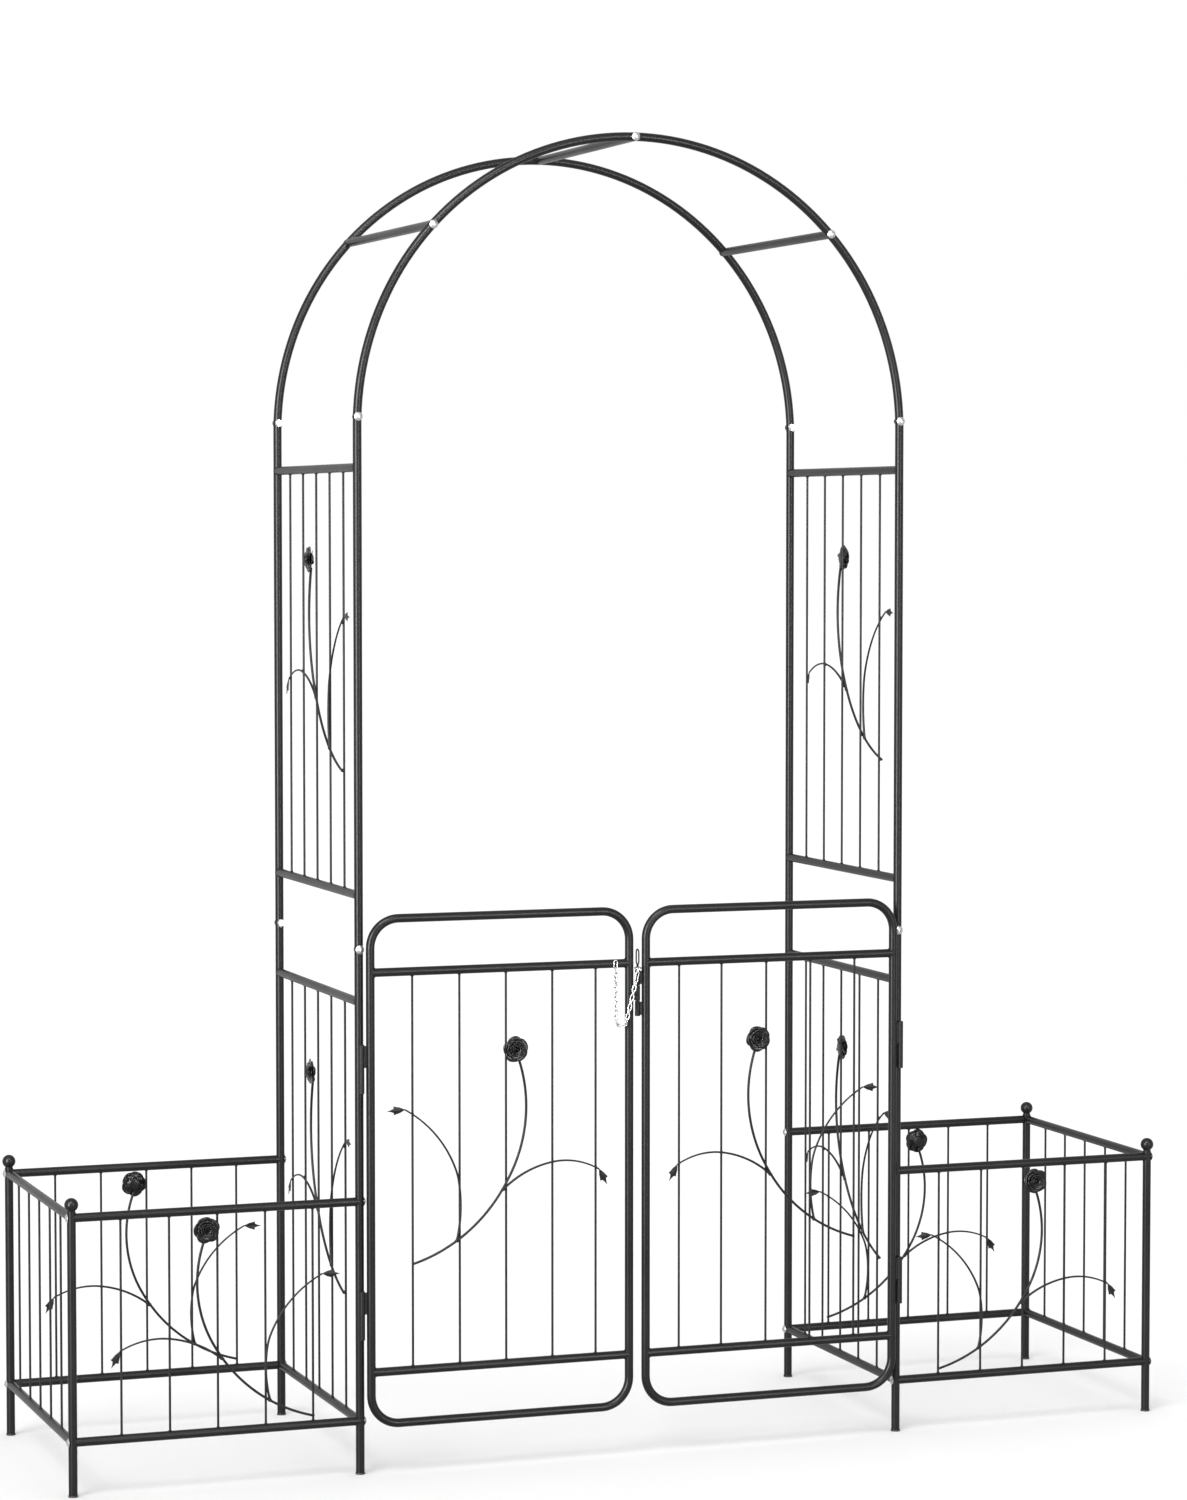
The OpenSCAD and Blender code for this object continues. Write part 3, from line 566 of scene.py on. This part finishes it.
def add_bar(stem, panel, number, name, line):
    """One bar of a stem: slightly uneven, tapered, and flared where a branch leaves the main bar."""
    base, tip = (STEM_R, STEM_R * 0.94) if name == "main" else (STEM_R * 0.95, STEM_R * 0.62)
    last = len(line) - 1
    radii = []
    for i in range(last + 1):
        uneven = 1 + 0.03 * noise.noise(Vector((i * 0.31, number * 2.3, len(name))))
        radii.append((base + (tip - base) * (i / last)) * uneven)
    if name != "main":
        radii[0] *= 1.25
        radii[1] *= 1.12
    stem.add(*sweep(line, radii, 14, up=(0, 0, 1)), panel.place)


def add_crossing_welds(welds, panel, number, line):
    """A spot weld wherever a bar crosses a wire above the low rail."""
    for i in range(len(line) - 1):
        for wire in panel.wires:
            a, b = line[i].x - wire, line[i + 1].x - wire
            if a * b < 0 and line[i].y > LOW_Z + 0.02:
                y = line[i].lerp(line[i + 1], a / (a - b)).y
                place = panel.place @ Matrix.Translation((wire, y, WIRE_R * 1.02))
                welds.add(*lump(number + i * 0.37, (0.9, 1.25, 0.8), 0.0028), place)


def add_branch_welds(welds, panel, number, lines):
    """A weld where each branch leaves the main bar."""
    for name in ("short", "long"):
        place = panel.place @ Matrix.Translation(lines[name][0])
        welds.add(*lump(number * 1.9 + len(name), (1.25, 1.0, 0.95), 0.0031), place)


def add_rose(roses, panel, number, shape):
    x = panel.rose[0] + ROSE_OUT.get(panel.rose_node, 0)
    turn = Matrix.Rotation(math.radians(37 * number + 12), 4, "Z")
    roses.add(*shape, panel.place @ Matrix.Translation((x, panel.rose[1], WIRE_R + GAP)) @ turn)


def add_leaves(leaves, panel, number, lines):
    """A leaf on the tip of each branch."""
    for name, degrees in LEAF_TURN.items():
        tip = lines[name][-1]
        turn = math.radians(degrees if panel.lean > 0 else 180 - degrees)
        place = Matrix.Translation((tip.x, tip.y, STEM_OUT)) @ Matrix.Rotation(turn, 4, "Z")
        leaves.add(*leaf_shape(number * 3.7 + len(name)), panel.place @ place)


def build_panels():
    """Makes the stems, roses and leaves, and returns their welds, one Builder for each body."""
    stems, roses, leaves, welds = {}, {}, {}, {}
    rose = rose_shape()
    for number, panel in enumerate(panels_of("right", SAME) + panels_of("left", MIRROR)):
        lines = bar_lines(panel)
        body_welds = welds.setdefault(panel.body, Builder())
        add_branch_welds(body_welds, panel, number, lines)
        for name, line in lines.items():
            add_bar(stems.setdefault(panel.stem_node, Builder()), panel, number, name, line)
            add_crossing_welds(body_welds, panel, number, line)
        add_rose(roses.setdefault(panel.rose_node, Builder()), panel, number, rose)
        add_leaves(leaves.setdefault(panel.leaf_node, Builder()), panel, number, lines)
    for kind, ending, slot in (
        (stems, "_bars", "stem_paint"), (roses, "_formed", "rose_paint"), (leaves, "_stamped", "stem_paint"),
    ):
        for node, builder in kind.items():
            builder.object(node + ending, slot, BODY_OF[node], [node])
    return welds


# ------------------------------------------------------------------ welds
UP = (0, 0, 1)
SEED_STEP = 1.3


def saddle(p, direction, seed):
    """Weld bead where a level tube in the given direction meets the upright tube whose middle is at p."""
    n, bead = 56, 0.0011
    d, a = Vector(direction), Vector(UP)
    c = d.cross(a)
    pts, radii = [], []
    for i in range(n):
        t = TURN * i / n
        out = a * math.sin(t) + c * math.cos(t)
        reach = TUBE_R * abs(math.sin(t)) + 0.0003
        pts.append(Vector(p) + d * reach + out * (TUBE_R + 0.0001))
        rough = noise.noise(Vector((math.cos(t) * 2, math.sin(t) * 2, seed)))
        ripple = 1 + 0.10 * math.sin(t * 19 + seed) + 0.10 * rough
        radii.append(bead * ripple * (0.55 + 0.45 * abs(math.sin(t))))
    return sweep(pts, radii, 8, closed=True)


def collar(p, up, seed):
    """Small fillet weld round the end of a wire that stands on a tube (up = 1) or hangs from one (-1)."""
    n, bead, r = 14, 0.00085, WIRE_R + 0.0003
    z = Vector((0, 0, up))
    x = z.orthogonal().normalized()
    y = z.cross(x)
    pts, radii = [], []
    for i in range(n):
        a = TURN * i / n
        pts.append(Vector(p) + x * (r * math.cos(a)) + y * (r * math.sin(a)))
        radii.append(bead * (1 + 0.2 * noise.noise(Vector((math.cos(a) * 1.5, math.sin(a) * 1.5, seed)))))
    return sweep(pts, radii, 6, closed=True)


def wire_collars(welds, x, y, low, high, seed):
    """Collars at both ends of the wire at x, y between two rails. Returns the last seed."""
    for z, up in ((low + TUBE_R, 1), (high - TUBE_R, -1)):
        seed += SEED_STEP
        welds.add(*collar((x, y, z + up * 0.0002), up, seed))
    return seed


def frame_welds(welds, seed):
    """Welds of the side frames and the planters. Returns the last seed."""
    for side in (-1, 1):
        for x, heights in ((ARCH_X, (LOW_Z, MID_Z, UPPER_Z, TOP_Z)), (PLANTER_X, (LOW_Z, PLANTER_Z))):
            for z in heights:
                for y, inward in ((FRONT_Y, 1), (BACK_Y, -1)):
                    seed += SEED_STEP
                    welds.add(*saddle((side * x, y, z), (0, inward, 0), seed))
        for x, low, high in (
            (ARCH_X, LOW_Z, MID_Z), (ARCH_X, UPPER_Z, TOP_Z), (PLANTER_X, LOW_Z, PLANTER_Z),
        ):
            for wire in SIDE_WIRES:
                seed = wire_collars(welds, side * x, MID_Y + wire, low, high, seed)
        for y in (FRONT_Y, BACK_Y):
            for wire in PLANTER_WIRES:
                x = side * ((ARCH_X + PLANTER_X) / 2 + wire)
                seed = wire_collars(welds, x, y, LOW_Z, PLANTER_Z, seed)
    return seed


def gate_welds(welds, side, seed):
    """Welds of the gate on side -1 or 1. Returns the last seed."""
    for z in (GATE_LOW_Z, GATE_HIGH_Z):
        for x, inward in ((GATE_MEET_X, 1), (GATE_HINGE_X, -1)):
            seed += SEED_STEP
            welds.add(*saddle((side * x, GATE_Y, z), (side * inward, 0, 0), seed))
    for wire in GATE_WIRES:
        seed = wire_collars(welds, side * wire, GATE_Y, GATE_LOW_Z, GATE_HIGH_Z, seed)
    return seed


def build_welds(welds):
    seed = frame_welds(welds["frame"], 0.0)
    seed = gate_welds(welds["gate_left"], -1, seed)
    gate_welds(welds["gate_right"], 1, seed)
    for body, builder in welds.items():
        builder.object("welds_" + body, "fitting_paint", body)


# ------------------------------------------------------------------ chain
LINKS, LINK_PITCH, LINK_R, LINK_W, LINK_SLACK = 26, 0.0083, 0.0010, 0.0030, 0.00035
ANCHOR = Vector((-0.0435, GATE_Y - TUBE_R - LINK_R - 0.00003, GATE_HIGH_Z - 0.001))
ANCHOR_HALF = 0.0045


def link_dir(i):
    """Direction of link i in the upright plane of the gate: down, round the bottom and up to the ring."""
    return -90 if i < 11 else -66 if i < 12 else -18 if i < 13 else 32 if i < 14 else 76


def link_lean(i):
    return -2.4 if 6 <= i < 13 else 4 if i >= 23 else 0


def link_roll(i):
    return (90 if i % 2 == 0 else 0) - min(45, 11 * i) - max(0, 15 * (i - 22))


def link_shape(half):
    """One chain link: bent round wire with a butt weld in the middle of one side."""
    pts, radii = [], []
    arc, run = 14, 12
    for end in (1, -1):
        for i in range(arc):
            a = math.pi * i / arc
            pts.append(Vector((end * (half + LINK_W * math.sin(a)), 0, end * LINK_W * math.cos(a))))
            radii.append(LINK_R)
        for i in range(run):
            t = i / run
            swell = 0.16 * math.exp(-(((t - 0.5) / 0.10) ** 2)) if end == 1 else 0
            pts.append(Vector((end * (half - 2 * half * t), 0, -end * LINK_W)))
            radii.append(LINK_R * (1 + swell))
    return sweep(pts, radii, 12, closed=True, up=(0, 1, 0))


def build_chain():
    b = Builder()
    start = ANCHOR - Vector((0, 0, ANCHOR_HALF + LINK_W - LINK_R - LINK_SLACK))
    for i in range(LINKS):
        aim = Matrix.Rotation(math.radians(-link_dir(i)), 4, "Y")
        aim = aim @ Matrix.Rotation(math.radians(link_lean(i)), 4, "Z")
        step = aim @ Vector((LINK_PITCH, 0, 0))
        roll = Matrix.Rotation(math.radians(link_roll(i)), 4, "X")
        place = Matrix.Translation(start + step / 2) @ aim @ roll
        b.add(*link_shape(LINK_PITCH / 2 + LINK_R + LINK_SLACK - LINK_W), place)
        start = start + step
    chain = b.object("chain_links", "chain_zinc", None, ["latch_chain"])
    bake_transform(chain)


def build_anchor_link():
    """The link that is welded to the left gate's crossbar, with four weld spots."""
    b = Builder()
    b.add(*link_shape(ANCHOR_HALF), Matrix.Translation(ANCHOR) @ Matrix.Rotation(math.pi / 2, 4, "Y"))
    for dz in (-0.003, 0.003):
        spot = lump(dz * 900, (0.9, 0.55, 1.5), 0.0014)
        for dx in (-LINK_W, LINK_W):
            b.add(*spot, Matrix.Translation(ANCHOR + Vector((dx, 0.0008, 0.001 + dz))))
    b.object("chain_anchor_link", "chain_zinc", "gate_left", ["chain_anchor"])


build_welds(build_panels())
build_chain()
build_anchor_link()

# ------------------------------------------------------------------ floor, light, camera
scene = bpy.context.scene
FLOOR_HALF = 60.0


def aim_at(ob, direction):
    ob.rotation_euler = Vector(direction).to_track_quat("-Z", "Y").to_euler()


def add_floor():
    me = bpy.data.meshes.new("floor")
    s = FLOOR_HALF
    me.from_pydata([(-s, -s, 0), (s, -s, 0), (s, s, 0), (-s, s, 0)], [], [(0, 1, 2, 3)])
    me.materials.append(pale_floor("floor_pale"))
    floor = bpy.data.objects.new("floor", me)
    scene.collection.objects.link(floor)


def white_world():
    world = bpy.data.worlds.new("studio")
    scene.world = world
    world.use_nodes = True
    background = world.node_tree.nodes["Background"]
    background.inputs["Color"].default_value = (1, 1, 1, 1)
    background.inputs["Strength"].default_value = 1.0


def strip(name, location, target, size, power):
    """Soft box seen only in reflections, so it doesn't wash the floor out."""
    light = bpy.data.lights.new(name, "AREA")
    light.shape = "RECTANGLE"
    light.size, light.size_y = size
    light.energy = power
    ob = bpy.data.objects.new(name, light)
    scene.collection.objects.link(ob)
    ob.location = location
    aim_at(ob, Vector(target) - Vector(location))
    ob.visible_diffuse = False


def add_sky():
    """A broad, far light that keeps the floor white and leaves a pale soft shadow, right and behind."""
    light = bpy.data.lights.new("sky", "SUN")
    light.energy = 0.95
    light.angle = math.radians(24)
    ob = bpy.data.objects.new("sky", light)
    scene.collection.objects.link(ob)
    aim_at(ob, (0.55, 0.45, -0.95))


def add_camera():
    data = bpy.data.cameras.new("camera")
    camera = bpy.data.objects.new("camera", data)
    scene.collection.objects.link(camera)
    camera.location = (-2.5004, -6.9837, 1.6234)
    camera.rotation_euler = (math.radians(86.887), 0, math.radians(-19.788))
    data.sensor_fit = "HORIZONTAL"
    data.sensor_width = 36.0
    data.lens = 125.67
    data.clip_end = 200
    scene.camera = camera


scene.view_settings.view_transform = "Standard"
add_floor()
white_world()
# tall soft boxes either side of the camera draw the long streaks on the tubes
strip("key", (-4.9, -3.4, 1.9), (0, 0, 1.2), (1.3, 3.7), 900)
strip("fill", (2.4, -7.4, 1.9), (0, 0, 1.2), (0.9, 3.7), 330)
strip("top", (-1.6, -4.2, 5.2), (0, 0, 1.0), (2.6, 1.2), 420)
add_sky()
add_camera()
